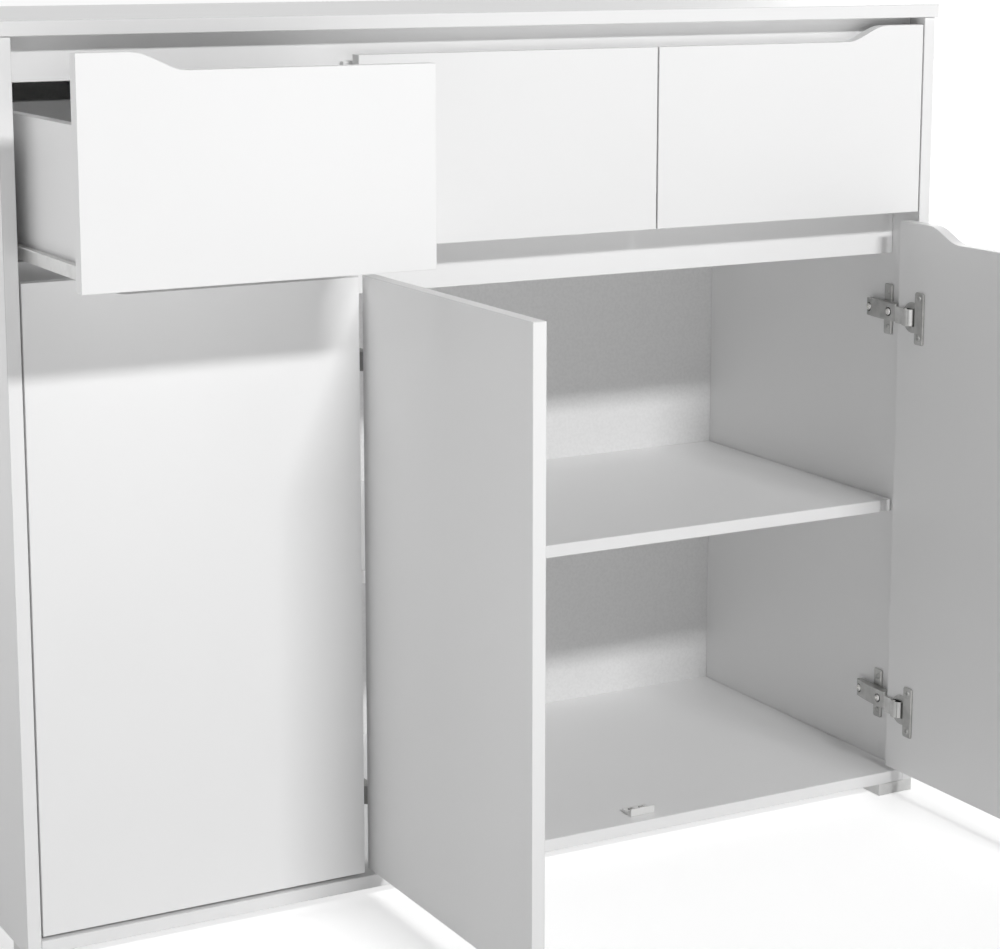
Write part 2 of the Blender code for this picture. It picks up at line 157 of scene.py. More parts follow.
def mottle(material, scale, detail, stops):
    """Cloud the base colour with noise, from one (place, colour) stop to another."""
    shade = colour_ramp(material, object_noise(material, scale, detail), stops)
    join(material, shade, material.node_tree.nodes["Principled BSDF"].inputs["Base Color"])


def melamine(name, across):
    """White melamine on chipboard, with a fine pearl on the faces and smooth edge banding.

    across is the board's thin direction. Its faces look that way and its edges don't.
    """
    face = MELAMINE_WHITE
    material = new_material(name, face, 0.38, specular=0.45)
    place = add_node(material, "ShaderNodeTexCoord")
    facing = add_node(material, "ShaderNodeVectorMath", operation="DOT_PRODUCT")
    facing.inputs[1].default_value = across
    size = add_node(material, "ShaderNodeMath", operation="ABSOLUTE")
    join(material, place.outputs["Normal"], facing.inputs[0])
    join(material, facing.outputs["Value"], size.inputs[0])
    band, seam, faded = scaled(face, 0.985), scaled(face, 0.80), scaled(face, 0.975)
    edges = colour_ramp(material, size.outputs["Value"], [
        (0.0, band), (0.10, band), (0.30, seam), (0.80, seam), (0.97, face)])
    cloud = colour_ramp(material, object_noise(material, 2.2, 3.0), [(0.35, faded), (0.65, face)])
    tint = add_node(material, "ShaderNodeMix", data_type="RGBA", blend_type="MULTIPLY")
    tint.inputs["Factor"].default_value = 1.0
    lift = add_node(material, "ShaderNodeMix", data_type="RGBA", blend_type="DIVIDE")
    lift.inputs["Factor"].default_value = 1.0
    lift.inputs["B"].default_value = (*face, 1.0)
    join(material, edges, tint.inputs["A"])
    join(material, cloud, lift.inputs["A"])
    join(material, lift.outputs["Result"], tint.inputs["B"])
    shader = material.node_tree.nodes["Principled BSDF"]
    join(material, tint.outputs["Result"], shader.inputs["Base Color"])
    vary_roughness(material, object_noise(material, 35.0, 4.0), 0.33, 0.44)
    bump(material, object_noise(material, 1500.0, 2.0), 0.10, 0.00015)
    return material


def hardboard(name, colour):
    """Lacquered hardboard: dull, with a fine fleck and a faint mesh of dimples."""
    material = new_material(name, colour, 0.55, specular=0.35)
    mottle(material, 260.0, 5.0, [(0.38, scaled(colour, 0.95)), (0.6, colour)])
    vary_roughness(material, object_noise(material, 18.0, 3.0), 0.50, 0.62)
    bump(material, object_noise(material, 900.0, 4.0), 0.25, 0.0003)
    return material


def moulded(name, colour, roughness):
    """Moulded plastic with a spark-eroded grain."""
    material = new_material(name, colour, roughness, specular=0.5)
    mottle(material, 90.0, 4.0, [(0.4, scaled(colour, 0.93)), (0.62, colour)])
    vary_roughness(material, object_noise(material, 120.0, 3.0), roughness - 0.05, roughness + 0.08)
    bump(material, object_noise(material, 2200.0, 2.0), 0.3, 0.0001)
    return material


def powder_coat(name, colour):
    """White coating on steel, with orange peel."""
    material = new_material(name, colour, 0.32, specular=0.5)
    mottle(material, 60.0, 5.0, [(0.36, scaled(colour, 0.90)), (0.55, colour)])
    vary_roughness(material, object_noise(material, 80.0, 3.0), 0.26, 0.40)
    bump(material, object_noise(material, 700.0, 2.0), 0.25, 0.0002)
    return material


def plated_steel(name, colour, roughness, stretch=(1.0, 1.0, 14.0)):
    """Plated steel, a little cloudy, with a grain that stretch draws out along the third axis."""
    material = new_material(name, colour, roughness, metallic=1.0)
    mottle(material, 70.0, 5.0, [(0.35, scaled(colour, 0.80)), (0.62, colour)])
    grain = object_noise(material, 600.0, 3.0, stretch)
    vary_roughness(material, grain, roughness - 0.07, roughness + 0.12)
    bump(material, grain, 0.15, 0.00008)
    return material


BOARD_X = melamine("melamine_thin_x", X)
BOARD_Y = melamine("melamine_thin_y", Y)
BOARD_Z = melamine("melamine_thin_z", Z)
BACKING = hardboard("lacquered_hardboard", HARDBOARD_WHITE)
FOOT = moulded("foot_plastic", PLASTIC_WHITE, 0.45)
NYLON = moulded("roller_nylon", NYLON_WHITE, 0.35)
COATED = powder_coat("runner_coating", PLASTIC_WHITE)
NICKEL = plated_steel("nickel_plate", NICKEL_GREY, 0.34)
# The link's steel is a lighter grey than the cup and arm: painted light for the link's brighter look, not a
# different plating.
LINK_PAINTED_LIGHT = plated_steel("link_plate_painted_light", LINK_PAINTED_LIGHT_GREY, 0.38)
# Bright zinc for screws, rivets, pins and cams. The same material on the thin strips along the hinge flange
# and plate edges is a painted highlight.
ZINC_AND_GLINT = plated_steel("bright_zinc_and_glint", ZINC_GREY, 0.18, (1.0, 1.0, 1.0))
# Near-black material laid in the cup's slot, round screw heads and on the floors of screw wells: painted
# shade where there is only shadow, not a black part.
PAINTED_SHADE = moulded("painted_recess_shade", NEAR_BLACK, 0.6)


def board_material(node):
    """The melamine for a board, from its thinnest side."""
    low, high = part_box(node)
    size = high - low
    thinnest = min(range(3), key=lambda axis: size[axis])
    return (BOARD_X, BOARD_Y, BOARD_Z)[thinnest]


def dress_cad_nodes():
    """Give every CAD node that stays in view its own material."""
    fixed = {"back_panel": BACKING, "drawer_bottom": BACKING, "foot": FOOT, "door_stop": FOOT}
    for name, node in frame["nodes"].items():
        material = next((m for start, m in fixed.items() if name.startswith(start)), None)
        if material is None and "runner" in name:
            material = COATED
        if material is None and name.startswith("hinge"):
            material = NICKEL
        if material is None:
            material = board_material(name)
        node.data.materials.clear()
        node.data.materials.append(material)


dress_cad_nodes()


# ---------------------------------------------------------------- shapes

SMOOTH_ANGLE = math.radians(32)
BEVEL_ANGLE = math.radians(30)
SCREW_TURN = math.radians(21)
RING_LOW, RING_HIGH = 0.02 * MM, 0.12 * MM


class Shape:
    """Mesh pieces gathered into one object, each with its own material."""

    def __init__(self):
        self.mesh = bmesh.new()
        self.materials = []

    def add(self, part, placing, material):
        """Add a bmesh at a place, and free it."""
        if material not in self.materials:
            self.materials.append(material)
        bmesh.ops.transform(part, matrix=placing, verts=part.verts)
        bmesh.ops.recalc_face_normals(part, faces=part.faces)
        for face in part.faces:
            face.material_index = self.materials.index(material)
        held = bpy.data.meshes.new("held")
        part.to_mesh(held)
        part.free()
        self.mesh.from_mesh(held)
        bpy.data.meshes.remove(held)

    def finish(self, name, body, replaced=()):
        """Make the object, which rides on a body."""
        data = bpy.data.meshes.new(name)
        self.mesh.to_mesh(data)
        self.mesh.free()
        piece = bpy.data.objects.new(name, data)
        bpy.context.scene.collection.objects.link(piece)
        for material in self.materials:
            data.materials.append(material)
        data.shade_smooth()
        data.set_sharp_from_angle(angle=SMOOTH_ANGLE)
        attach(piece, body)
        if replaced:
            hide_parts(*replaced)


def axes(origin, along, out):
    """A local frame: its first axis runs along, its second out, its third up."""
    matrix = Matrix.Identity(4)
    for column, direction in enumerate((along, out, Z)):
        for row in range(3):
            matrix[row][column] = direction[row]
    for row in range(3):
        matrix[row][3] = origin[row]
    return matrix


def bevelled(part, width, segments):
    """Round the sharp edges of a bmesh."""
    sharp = [
        edge for edge in part.edges
        if len(edge.link_faces) == 2 and edge.calc_face_angle(0) > BEVEL_ANGLE
    ]
    bmesh.ops.bevel(
        part, geom=sharp, offset=width, segments=segments, profile=0.6, affect="EDGES",
        clamp_overlap=True)
    return part


def slab(outline, low, high, width=0.0, segments=2):
    """An outline in the first two axes, made thick along the third, with soft edges."""
    part = bmesh.new()
    base = part.faces.new([part.verts.new((a, b, low)) for a, b in outline])
    grown = bmesh.ops.extrude_face_region(part, geom=[base])
    top = [item for item in grown["geom"] if isinstance(item, bmesh.types.BMVert)]
    bmesh.ops.translate(part, vec=(0, 0, high - low), verts=top)
    bmesh.ops.recalc_face_normals(part, faces=part.faces)
    return bevelled(part, width, segments) if width else part


def rounded_rectangle(centre, size, radius, steps=5):
    """The outline of a rectangle with round corners."""
    points = []
    half = (size[0] / 2 - radius, size[1] / 2 - radius)
    for quarter, (side_a, side_b) in enumerate(((1, 1), (-1, 1), (-1, -1), (1, -1))):
        for step in range(steps + 1):
            turn = math.radians(90 * (quarter + step / steps))
            points.append((
                centre[0] + side_a * half[0] + radius * math.cos(turn),
                centre[1] + side_b * half[1] + radius * math.sin(turn)))
    return points


def ribbon(path, thickness):
    """The outline of a bent strip: a path offset to one side by a thickness."""
    outer = []
    for index, point in enumerate(path):
        before = Vector(path[max(index - 1, 0)])
        after = Vector(path[min(index + 1, len(path) - 1)])
        run = (after - before).normalized()
        outer.append((point[0] - run.y * thickness, point[1] + run.x * thickness))
    return list(path) + outer[::-1]


def smooth_path(corners, radius, steps=4):
    """A path with its corners rounded."""
    points = [corners[0]]
    for before, corner, after in zip(corners, corners[1:], corners[2:]):
        corner_v, before_v, after_v = Vector(corner), Vector(before), Vector(after)
        enter = corner_v + (before_v - corner_v).normalized() * radius
        leave = corner_v + (after_v - corner_v).normalized() * radius
        for step in range(steps + 1):
            part = step / steps
            point = (1 - part) ** 2 * enter + 2 * part * (1 - part) * corner_v + part ** 2 * leave
            points.append((point.x, point.y))
    points.append(corners[-1])
    return points


def turned(profile, segments=40):
    """A profile of (radius, height) turned about the second axis."""
    part = bmesh.new()
    verts = [part.verts.new((radius, height, 0.0)) for radius, height in profile]
    edges = [part.edges.new(pair) for pair in zip(verts, verts[1:])]
    bmesh.ops.spin(
        part, geom=verts + edges, cent=(0, 0, 0), axis=(0, 1, 0), angle=math.tau,
        steps=segments, use_duplicate=False)
    bmesh.ops.remove_doubles(part, verts=part.verts, dist=1e-6)
    bmesh.ops.recalc_face_normals(part, faces=part.faces)
    return part


def cut(part, tool):
    """Cut one bmesh out of another with an exact Boolean, and return the result."""
    objects = []
    for source in (part, tool):
        data = bpy.data.meshes.new("cut")
        source.to_mesh(data)
        source.free()
        objects.append(bpy.data.objects.new("cut", data))
        bpy.context.scene.collection.objects.link(objects[-1])
    boolean = objects[0].modifiers.new("cut", "BOOLEAN")
    boolean.object = objects[1]
    boolean.solver = "EXACT"
    bpy.context.view_layer.update()
    done = objects[0].evaluated_get(bpy.context.evaluated_depsgraph_get())
    result = bmesh.new()
    result.from_mesh(done.to_mesh())
    done.to_mesh_clear()
    for used in objects:
        data = used.data
        bpy.data.objects.remove(used, do_unlink=True)
        bpy.data.meshes.remove(data)
    return result


def block(low, high, width=0.0):
    """A block between two corners, with soft edges."""
    outline = [(low[0], low[1]), (high[0], low[1]), (high[0], high[1]), (low[0], high[1])]
    return slab(outline, low[2], high[2], width)


def screw_head(radius, height):
    """A domed screw head with a cross recess, standing out along the second axis."""
    dome = [(0.0, -0.3 * height), (radius, -0.3 * height), (radius, 0.25 * height)]
    steps = 6
    for step in range(1, steps + 1):
        turn = math.radians(90 * step / steps)
        dome.append((radius * math.cos(turn), height * (0.25 + 0.75 * math.sin(turn))))
    head = turned(dome, 28)
    arm, half = 0.62 * radius, 0.13 * radius
    for wide, tall in ((arm, half), (half, arm)):
        head = cut(head, block((-wide, 0.45 * height, -tall), (wide, 1.5 * height, tall)))
    return head


HEADS = {}


def add_screw(shape, placing, radius, height, ring=0.0, material=ZINC_AND_GLINT):
    """Add a screw head, with a flat near-black ring round it where ring is its radius: painted shade for the
    recess round the head.
    """
    key = (radius, height)
    if key not in HEADS:
        HEADS[key] = bpy.data.meshes.new("screw_head")
        made = screw_head(radius, height)
        made.to_mesh(HEADS[key])
        made.free()
    copy = bmesh.new()
    copy.from_mesh(HEADS[key])
    shape.add(copy, placing @ Matrix.Rotation(SCREW_TURN, 4, "Y"), material)
    # The ring is a flat near-black disc: painted shade for the recess round the head.
    if ring:
        well = turned(
            [(radius, RING_LOW), (ring, RING_LOW), (ring, RING_HIGH), (radius, RING_HIGH)], 36)
        shape.add(well, placing, PAINTED_SHADE)


# ---------------------------------------------------------------- hinges
# Along a door, sizes run from its hinge edge, and along a panel from its front edge. A link's run
# is where it starts and where it rises over the door's edge.

CUP_CENTRE = 28 * MM
CUP_DEPTH = 10.8 * MM
CUP_SLOT_START, CUP_SLOT_PAST_HUMP, CUP_SLOT_HALF = 13.0 * MM, 17.5 * MM, 10.6 * MM
FLANGE_CENTRE, FLANGE_SIZE, FLANGE_CORNER = 41.5 * MM, (17 * MM, 63 * MM), 3.0 * MM
GLINT_STRIP_CENTRE, GLINT_STRIP_SIZE = 48.9 * MM, (1.3 * MM, 60 * MM)
PAD_CENTRE, PAD_SIZE, PAD_UP = 41 * MM, (11.5 * MM, 12 * MM), 24 * MM
SIDE_RUN, DIVIDER_RUN = (-1.5 * MM, 15.0 * MM), (5.0 * MM, 23.5 * MM)
LINK_RUNS = {"left": SIDE_RUN, "middle": DIVIDER_RUN, "right": SIDE_RUN}
LINK_THICKNESS, LINK_HALF, LINK_BEND = 1.7 * MM, 10 * MM, 1.4 * MM
FOLD_HALF, FOLD_DROP = 9.6 * MM, 0.9 * MM
RIVET_UP = 9.8 * MM
PLATE_CENTRE, PLATE_SIZE, PLATE_CORNER = 52 * MM, (15.5 * MM, 62 * MM), 2.6 * MM
PLATE_GLINT_CENTRE, PLATE_GLINT_SIZE = 45.4 * MM, (1.2 * MM, 58 * MM)
SPINE_CENTRE, SPINE_SIZE = 62 * MM, (50 * MM, 17 * MM)
PLATE_SCREW_UP = 22 * MM
ARM_HALF = 10.8 * MM
ARM_SCREWS = ((35.0 * MM, 15.35 * MM), (79.5 * MM, 10.35 * MM))
SMALL_SCREW, SMALL_SCREW_HEIGHT = 3.6 * MM, 1.5 * MM
ARM_SCREW, ARM_SCREW_HEIGHT = 4.3 * MM, 2.6 * MM
WELL, WELL_DEPTH, WELL_FLOOR = 5.6 * MM, 1.6 * MM, 5.4 * MM


def door_frame_of(name, level):
    """A hinge's frame on a door: along from the hinge edge, out from the inner face."""
    low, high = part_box("door_panel_" + name)
    cup_low, cup_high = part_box(f"hinge_cup_{name}_{level}")
    up = (cup_low.z + cup_high.z) / 2
    if name == "left":
        return axes((low.x, high.y, up), X, Y)
    if name == "middle":
        return axes((high.x, high.y, up), -Y, X)
    return axes((low.x, high.y, up), -Y, -X)


def hinge_cup(name, level):
    """The pressed cup, its flange and screws, and the link that folds into it."""
    place = door_frame_of(name, level)
    link_start, hump = LINK_RUNS[name]
    shape = Shape()
    cup = turned([
        (0, -CUP_DEPTH), (15.6 * MM, -CUP_DEPTH), (16.8 * MM, -9.6 * MM), (17.0 * MM, -0.2 * MM),
        (17.1 * MM, 0.3 * MM), (18.4 * MM, 0.3 * MM), (18.6 * MM, 0.6 * MM), (18.3 * MM, 1.0 * MM),
        (0, 1.0 * MM)], 56)
    cup.transform(Matrix.Translation((CUP_CENTRE, 0, 0)))
    slot_end = hump + CUP_SLOT_PAST_HUMP
    slot = block((CUP_SLOT_START, -9.5 * MM, -CUP_SLOT_HALF), (slot_end, 9 * MM, CUP_SLOT_HALF))
    shape.add(cut(cup, slot), place, NICKEL)
    # A near-black block lines the cup's slot: painted shade for the dark pocket inside the cup.
    gap = 0.1 * MM
    pocket_shade = block(
        (CUP_SLOT_START + gap, -9.4 * MM, gap - CUP_SLOT_HALF),
        (slot_end - gap, -1.2 * MM, CUP_SLOT_HALF - gap))
    shape.add(pocket_shade, place, PAINTED_SHADE)

    flat = place @ SWAP_OUT_AND_UP
    flange = slab(
        rounded_rectangle((FLANGE_CENTRE, 0), FLANGE_SIZE, FLANGE_CORNER), 0.35 * MM, 1.35 * MM, 0.3 * MM)
    shape.add(flange, flat, NICKEL)
    # The rim is a thin strip of bright zinc on the flange's edge: a painted highlight where the edge catches
    # the light.
    rim = slab(rounded_rectangle((GLINT_STRIP_CENTRE, 0), GLINT_STRIP_SIZE, 0.6 * MM), 1.2 * MM, 1.9 * MM, 0.25 * MM)
    shape.add(rim, flat, ZINC_AND_GLINT)
    for side in (-1, 1):
        pad = slab(
            rounded_rectangle((PAD_CENTRE, side * PAD_UP), PAD_SIZE, 4 * MM), 1.2 * MM, 1.6 * MM, 0.2 * MM)
        shape.add(pad, flat, NICKEL)
        at = Matrix.Translation((PAD_CENTRE, 1.5 * MM, side * PAD_UP))
        add_screw(shape, place @ at, SMALL_SCREW, SMALL_SCREW_HEIGHT, material=NICKEL)

    low, high = 1.6 * MM, 6.4 * MM
    path = smooth_path([
        (link_start, low), (hump - 1.5 * MM, low), (hump + 2.5 * MM, high), (hump + 9 * MM, high),
        (hump + 13 * MM, 2.6 * MM), (hump + 13.4 * MM, -7.5 * MM)], LINK_BEND)
    shape.add(slab(ribbon(path, LINK_THICKNESS), -LINK_HALF, LINK_HALF, 0.25 * MM, 1), place, LINK_PAINTED_LIGHT)
    fold = block(
        (hump + 9.5 * MM, 6.6 * MM, -FOLD_HALF), (hump + 12.5 * MM, 7.6 * MM, FOLD_HALF), 0.3 * MM)
    shape.add(fold, place @ Matrix.Translation((0, -FOLD_DROP, 0)), LINK_PAINTED_LIGHT)
    for side in (-1, 1):
        rivet = turned(
            [(0, 0), (2.2 * MM, 0), (2.1 * MM, 0.7 * MM), (1.4 * MM, 1.1 * MM), (0, 1.2 * MM)], 20)
        at = Matrix.Translation((hump + 5.5 * MM, 5.2 * MM, side * RIVET_UP))
        shape.add(rivet, place @ at @ Matrix.Rotation(math.radians(90 * side), 4, "X"), ZINC_AND_GLINT)
    shape.finish(
        f"cup_{name}_{level}", "door_" + name, [f"hinge_cup_{name}_{level}"])


def arm_outline():
    """The arm from the side: a square back end, a rising arch and a round nose."""
    steps = 8
    back = [(86, 3.2), (86.2, 8.4)]
    arch = []
    for step in range(steps + 1):
        part = step / steps
        arch.append((84 - 52 * part, 9.6 + 5.8 * math.sin(math.radians(90 * part))))
    nose = [(26, 15.4), (22.6, 14.2), (21.4, 11.6), (21.4, 7.6), (26, 3.2)]
    return [(along * MM, out * MM) for along, out in back + arch + nose]


def hinge_arm(name, level):
    """The arm, its cross plate and their screws, on a side panel or the divider."""
    panel = {"left": "side_left", "middle": "divider_full", "right": "side_right"}[name]
    panel_low, panel_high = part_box(panel)
    arm_low, arm_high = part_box(f"hinge_arm_{name}_{level}")
    inward = -X if name == "right" else X
    face = panel_low.x if name == "right" else panel_high.x
    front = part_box("side_left")[0].y
    up = (arm_low.z + arm_high.z) / 2
    place = axes((face, front, up), Y, inward)
    flat = place @ SWAP_OUT_AND_UP
    shape = Shape()
    plate = slab(
        rounded_rectangle((PLATE_CENTRE, 0), PLATE_SIZE, PLATE_CORNER), 0.3 * MM, 2.1 * MM, 0.35 * MM)
    shape.add(plate, flat, NICKEL)
    # The edge is a thin strip of bright zinc along the plate: a painted highlight where the edge catches the
    # light.
    edge = slab(
        rounded_rectangle((PLATE_GLINT_CENTRE, 0), PLATE_GLINT_SIZE, 0.5 * MM), 1.9 * MM, 2.5 * MM, 0.2 * MM)
    shape.add(edge, flat, ZINC_AND_GLINT)
    spine = slab(rounded_rectangle((SPINE_CENTRE, 0), SPINE_SIZE, 3 * MM), 0.3 * MM, 6.5 * MM, 0.6 * MM)
    shape.add(spine, flat, NICKEL)
    for side in (-1, 1):
        at = Matrix.Translation((PLATE_CENTRE, 2.2 * MM, side * PLATE_SCREW_UP))
        add_screw(shape, place @ at, SMALL_SCREW, SMALL_SCREW_HEIGHT, material=NICKEL)

    body = slab(arm_outline(), -ARM_HALF, ARM_HALF, 1.1 * MM, 3)
    for along, out in ARM_SCREWS:
        well = turned([(0, -WELL_DEPTH), (WELL, -WELL_DEPTH), (WELL, 6 * MM), (0, 6 * MM)], 36)
        well.transform(Matrix.Translation((along, out, 0)))
        body = cut(body, well)
    shape.add(body, place, NICKEL)
    for along, out in ARM_SCREWS:
        # A near-black disc on each well's floor: painted shade at the bottom of the screw well.
        ground = turned([(0, 0), (WELL_FLOOR, 0), (WELL_FLOOR, 0.3 * MM), (0, 0.3 * MM)], 36)
        shape.add(ground, place @ Matrix.Translation((along, out - 1.65 * MM, 0)), PAINTED_SHADE)
        at = Matrix.Translation((along + 0.6 * MM, out - 0.9 * MM, 0))
        add_screw(shape, place @ at, ARM_SCREW, ARM_SCREW_HEIGHT)
    shape.finish(
        f"arm_{name}_{level}", "carcass", [f"hinge_arm_{name}_{level}"])


# ---------------------------------------------------------------- small fittings

ROLLER_RADIUS, ROLLER_WIDTH = 8.4 * MM, 5.6 * MM
HUB_INNER, HUB_OUTER, HUB_DIP = 2.6 * MM, 2.8 * MM, 0.9 * MM
ROLLER_BACK, ROLLER_UP, ROLLER_OFF_WALL = 12 * MM, 10.7 * MM, 2.2 * MM
REAR_ROLLER_BACK, REAR_ROLLER_UP, REAR_ROLLER_OFF_WEB = 9.4 * MM, 6.3 * MM, 8.2 * MM
RUNNER_WEB = 7.0 * MM
TAB_CENTRE, TAB_SIZE = 4.5 * MM, (15 * MM, 9 * MM)
PIN_INSET, PIN_DROP, PIN_START = 45 * MM, 3.4 * MM, 1.0 * MM
CAM_BACK, CAM_UP_FROM_FLOOR, CAM_DOWN_FROM_TOP = 24 * MM, 42 * MM, 32 * MM
CAM_CROSS, CAM_CROSS_HALF, CAM_TURN = 3.6 * MM, 0.7 * MM, math.radians(35)
STOP_SCREW, STOP_SCREW_HEIGHT, STOP_SCREW_RING = 3.4 * MM, 1.3 * MM, 4.4 * MM
STOP_SCREW_PLACES, STOP_SCREW_DEPTH, STOP_TOP = (0.27, 0.73), 0.62, 4.0 * MM


def roller_profile(radius, width):
    """A roller with a round tread, a groove and a raised hub."""
    rim, lip, shoulder = radius - 0.5 * MM, radius - 1.1 * MM, radius - 1.4 * MM
    proud, steps, crown = 0.3 * MM, 4, 0.2 * MM
    near = [
        (0, proud), (HUB_INNER, proud), (HUB_OUTER, HUB_DIP), (shoulder, HUB_DIP), (lip, 0), (rim, 0)]
    tread = []
    for step in range(steps + 1):
        part = step / steps
        tread.append((radius - crown + crown * math.sin(math.pi * part), width * (0.06 + 0.88 * part)))
    return near + tread + [(across, width - out) for across, out in near[::-1]]


def runner_rollers():
    """A roller at the front of each cabinet runner and at the rear of each drawer runner."""
    for name in DOORS:
        for side, inward in (("left", X), ("right", -X)):
            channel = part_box(f"cabinet_runner_{name}_{side}")
            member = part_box(f"drawer_runner_{name}_{side}")
            wall = channel[0].x if side == "left" else channel[1].x
            turn = axes((0, 0, 0), -Y, inward)
            front = Vector((wall, channel[0].y + ROLLER_BACK, channel[0].z + ROLLER_UP))
            front += inward * ROLLER_OFF_WALL
            web = (member[0].x if side == "left" else member[1].x) + inward.x * RUNNER_WEB
            rear = Vector((web, member[1].y + REAR_ROLLER_BACK, member[0].z + REAR_ROLLER_UP))
            rear -= inward * REAR_ROLLER_OFF_WEB
            fitted = (("front", front, "carcass"), ("rear", rear, "drawer_" + name))
            for where, centre, body in fitted:
                shape = Shape()
                start = Matrix.Translation(centre) @ turn
                shape.add(turned(roller_profile(ROLLER_RADIUS, ROLLER_WIDTH), 40), start, NYLON)
                rivet = turned([
                    (0, -0.4 * MM), (2.0 * MM, -0.4 * MM), (2.0 * MM, 5.8 * MM), (1.5 * MM, 6.3 * MM),
                    (0, 6.4 * MM)], 20)
                shape.add(rivet, start, ZINC_AND_GLINT)
                if where == "rear":
                    tab = slab(
                        rounded_rectangle((TAB_CENTRE, 0), TAB_SIZE, 3.5 * MM), 6.9 * MM, 8.1 * MM, 0.2 * MM)
                    shape.add(tab, start @ SWAP_OUT_AND_UP, COATED)
                shape.finish(f"roller_{name}_{side}_{where}", body)


def shelf_pins():
    """A steel pin with a collar and a flat seat under each corner of each shelf."""
    for name in ("left", "right"):
        low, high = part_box("shelf_" + name)
        walls = ((low.x - PIN_START, X), (high.x + PIN_START, -X))
        for side, (wall, inward) in zip(("left", "right"), walls):
            for row, along in (("front", low.y + PIN_INSET), ("rear", high.y - PIN_INSET)):
                shape = Shape()
                place = axes((wall, along, low.z - PIN_DROP), Y, inward)
                pin = turned([
                    (0, 0.1 * MM), (4.2 * MM, 0.1 * MM), (4.2 * MM, 1.2 * MM), (3.8 * MM, 1.6 * MM),
                    (2.5 * MM, 1.7 * MM), (2.5 * MM, 8.5 * MM), (2.1 * MM, 9.2 * MM), (0, 9.3 * MM)], 28)
                shape.add(pin, place, ZINC_AND_GLINT)
                seat = block((-3.4 * MM, 1.4 * MM, 2.2 * MM), (3.4 * MM, 9.0 * MM, 3.1 * MM), 0.3 * MM)
                shape.add(seat, place, ZINC_AND_GLINT)
                shape.finish(f"shelf_pin_{name}_{side}_{row}", "carcass")


def cam_fittings():
    """Cams on the inside of each drawer, where its sides hold the front."""
    for name in DOORS:
        shape = Shape()
        for side, inward in (("left", X), ("right", -X)):
            low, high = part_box(f"drawer_side_{name}_{side}")
            wall = high.x if side == "left" else low.x
            for up in (low.z + CAM_UP_FROM_FLOOR, high.z - CAM_DOWN_FROM_TOP):
                place = axes((wall, low.y + CAM_BACK, up), Y, inward)
                disc = turned([
                    (0, 0.05 * MM), (7.4 * MM, 0.05 * MM), (7.4 * MM, 0.5 * MM), (7.0 * MM, 0.8 * MM),
                    (6.2 * MM, 0.6 * MM), (0, 0.6 * MM)], 36)
                for wide, tall in ((CAM_CROSS, CAM_CROSS_HALF), (CAM_CROSS_HALF, CAM_CROSS)):
                    disc = cut(disc, block((-wide, 0.25 * MM, -tall), (wide, 2 * MM, tall)))
                shape.add(disc, place @ Matrix.Rotation(CAM_TURN, 4, "Y"), ZINC_AND_GLINT)
        shape.finish(f"cams_drawer_{name}", "drawer_" + name)


def stop_screws():
    """Two screws in the door stop, each with a ring of painted shade round it."""
    low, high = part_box("door_stop")
    shape = Shape()
    up = Matrix.Rotation(math.radians(90), 4, "X")
    back = low.y + STOP_SCREW_DEPTH * (high.y - low.y)
    for part in STOP_SCREW_PLACES:
        place = Matrix.Translation((low.x + (high.x - low.x) * part, back, low.z + STOP_TOP))
        add_screw(shape, place @ up, STOP_SCREW, STOP_SCREW_HEIGHT, STOP_SCREW_RING)
    shape.finish("door_stop_screws", "carcass")


def build_pieces():
    """Every detailed piece."""
    for name in DOORS:
        for level in LEVELS:
            hinge_cup(name, level)
            hinge_arm(name, level)
    runner_rollers()
    shelf_pins()
    cam_fittings()
    stop_screws()


build_pieces()
for head in HEADS.values():
    bpy.data.meshes.remove(head)


# ---------------------------------------------------------------- floor, light and camera

FLOOR_REACH, FLOOR_DROP = 30.0, 0.0005
FLOOR_WHITE = (0.88, 0.88, 0.88)
GLOW_START, GLOW_END = 0.6, 3.2
GLOW_NEAR, GLOW_FAR, GLOW_SEEN = 0.18, 0.80, 0.30
ROOM_LIGHT, ROOM_SEEN = 0.03, 0.95
KEY_PLACE, KEY_TARGET, KEY_SIZE, KEY_POWER = (0.6, -5.2, 3.75), (0.0, 0.0, 0.5), (1.4, 0.35), 207
TOP_PLACE, TOP_TARGET, TOP_SIZE, TOP_POWER = (0.0, 1.0, 4.2), (0.0, 1.0, 0.0), (4.0, 2.4), 18
FILL_OUT, FILL_BACK, FILL_UP = 4.2, 3.2, 2.6
FILL_TARGET, FILL_SIZE, FILL_POWER = (0.0, 0.2, 0.5), (3.0, 3.0), 55
LENS, SENSOR, SHIFT_UP = 89.05, 36.0, -0.10
EYE = (-1.2997, -2.3826, 1.0559)
LOOK_DOWN, LOOK_RIGHT = math.radians(10.184), math.radians(28.788)
DISPLAY_GAMMA = 1.1


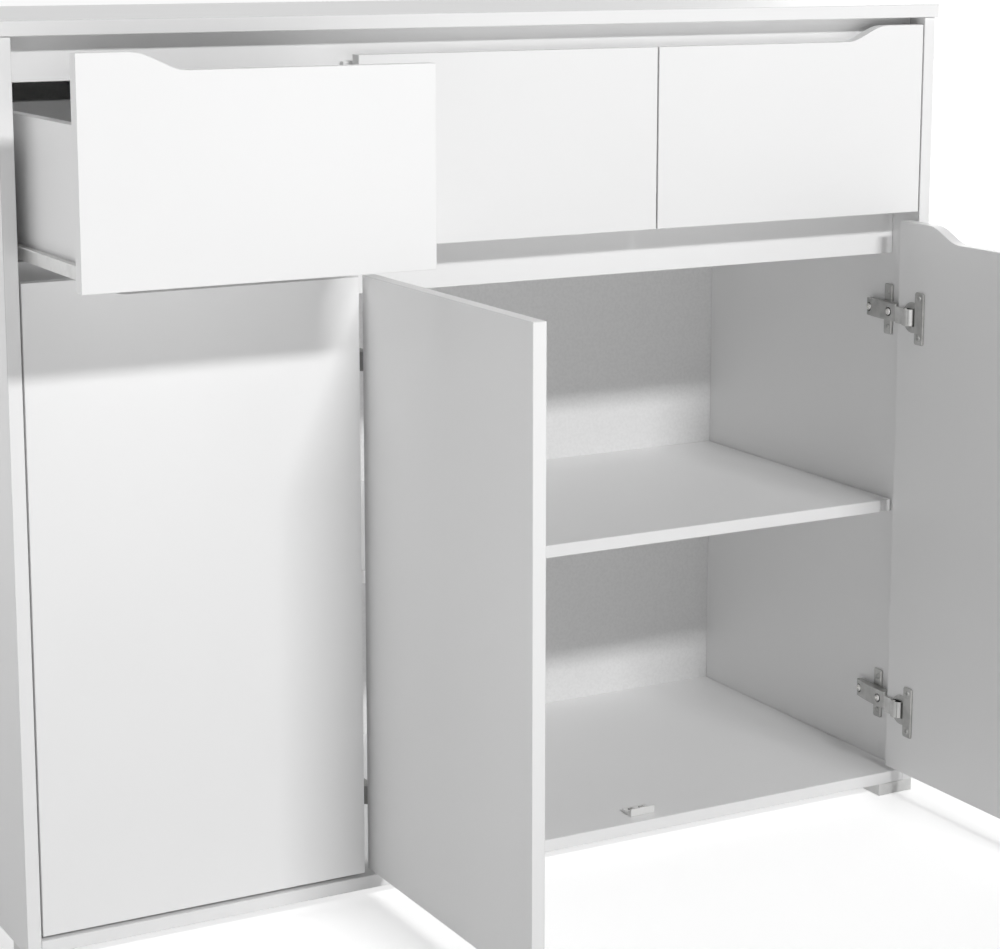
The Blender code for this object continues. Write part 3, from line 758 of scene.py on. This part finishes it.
def floor():
    """A plain pale floor that glows, dimly near the object and brighter far off.

    It looks a little brighter to the camera than its light on the object.
    """
    data = bpy.data.meshes.new("floor")
    part = bmesh.new()
    bmesh.ops.create_grid(part, x_segments=1, y_segments=1, size=FLOOR_REACH)
    part.to_mesh(data)
    part.free()
    ground = bpy.data.objects.new("floor", data)
    bpy.context.scene.collection.objects.link(ground)
    ground.location.z = -FLOOR_DROP
    material = new_material("floor", FLOOR_WHITE, 0.7, specular=0.2)
    shader = material.node_tree.nodes["Principled BSDF"]
    shader.inputs["Emission Color"].default_value = PURE_WHITE
    place = add_node(material, "ShaderNodeTexCoord")
    reach = add_node(material, "ShaderNodeVectorMath", operation="LENGTH")
    glow = add_node(material, "ShaderNodeMapRange", interpolation_type="SMOOTHSTEP")
    glow.inputs["From Min"].default_value = GLOW_START
    glow.inputs["From Max"].default_value = GLOW_END
    glow.inputs["To Min"].default_value = GLOW_NEAR
    glow.inputs["To Max"].default_value = GLOW_FAR
    ray = add_node(material, "ShaderNodeLightPath")
    bright = add_node(material, "ShaderNodeMath", operation="MULTIPLY_ADD")
    bright.inputs[1].default_value = GLOW_SEEN
    join(material, place.outputs["Object"], reach.inputs[0])
    join(material, reach.outputs["Value"], glow.inputs["Value"])
    join(material, ray.outputs["Is Camera Ray"], bright.inputs[0])
    join(material, glow.outputs["Result"], bright.inputs[2])
    join(material, bright.outputs["Value"], shader.inputs["Emission Strength"])
    vary_roughness(material, object_noise(material, 6.0, 3.0), 0.65, 0.75)
    data.materials.append(material)


def area_light(name, place, target, size, power):
    """A rectangular soft light aimed at a point."""
    data = bpy.data.lights.new(name, "AREA")
    data.shape = "RECTANGLE"
    data.size, data.size_y = size
    data.energy = power
    lamp = bpy.data.objects.new(name, data)
    bpy.context.scene.collection.objects.link(lamp)
    lamp.location = place
    lamp.rotation_euler = (Vector(target) - Vector(place)).to_track_quat("-Z", "Y").to_euler()


def lights():
    """A thin, wide key light in front and above, softboxes over and behind, and a white room.

    The room is white to the camera and in reflections, and lights the object only faintly.
    """
    world = bpy.data.worlds.new("white_room")
    bpy.context.scene.world = world
    world.use_nodes = True
    sky = world.node_tree.nodes["Background"]
    sky.inputs["Color"].default_value = PURE_WHITE
    ray = add_node(world, "ShaderNodeLightPath")
    seen = add_node(world, "ShaderNodeMath", operation="MAXIMUM")
    strength = add_node(world, "ShaderNodeMapRange")
    strength.inputs["To Min"].default_value = ROOM_LIGHT
    strength.inputs["To Max"].default_value = ROOM_SEEN
    join(world, ray.outputs["Is Camera Ray"], seen.inputs[0])
    join(world, ray.outputs["Is Glossy Ray"], seen.inputs[1])
    join(world, seen.outputs["Value"], strength.inputs["Value"])
    join(world, strength.outputs["Result"], sky.inputs["Strength"])
    area_light("key", KEY_PLACE, KEY_TARGET, KEY_SIZE, KEY_POWER)
    area_light("overhead", TOP_PLACE, TOP_TARGET, TOP_SIZE, TOP_POWER)
    for side in (-1, 1):
        area_light("back_fill", (side * FILL_OUT, FILL_BACK, FILL_UP), FILL_TARGET, FILL_SIZE, FILL_POWER)


def camera():
    """The view from the front left, looking a little down."""
    data = bpy.data.cameras.new("camera")
    data.lens = LENS
    data.sensor_width = SENSOR
    data.shift_y = SHIFT_UP
    data.dof.use_dof = False
    viewer = bpy.data.objects.new("camera", data)
    bpy.context.scene.collection.objects.link(viewer)
    viewer.location = EYE
    viewer.rotation_euler = (math.radians(90) - LOOK_DOWN, 0.0, -LOOK_RIGHT)
    bpy.context.scene.camera = viewer


floor()
lights()
camera()
bpy.context.scene.view_settings.view_transform = "Standard"
bpy.context.scene.view_settings.look = "None"
bpy.context.scene.view_settings.gamma = DISPLAY_GAMMA
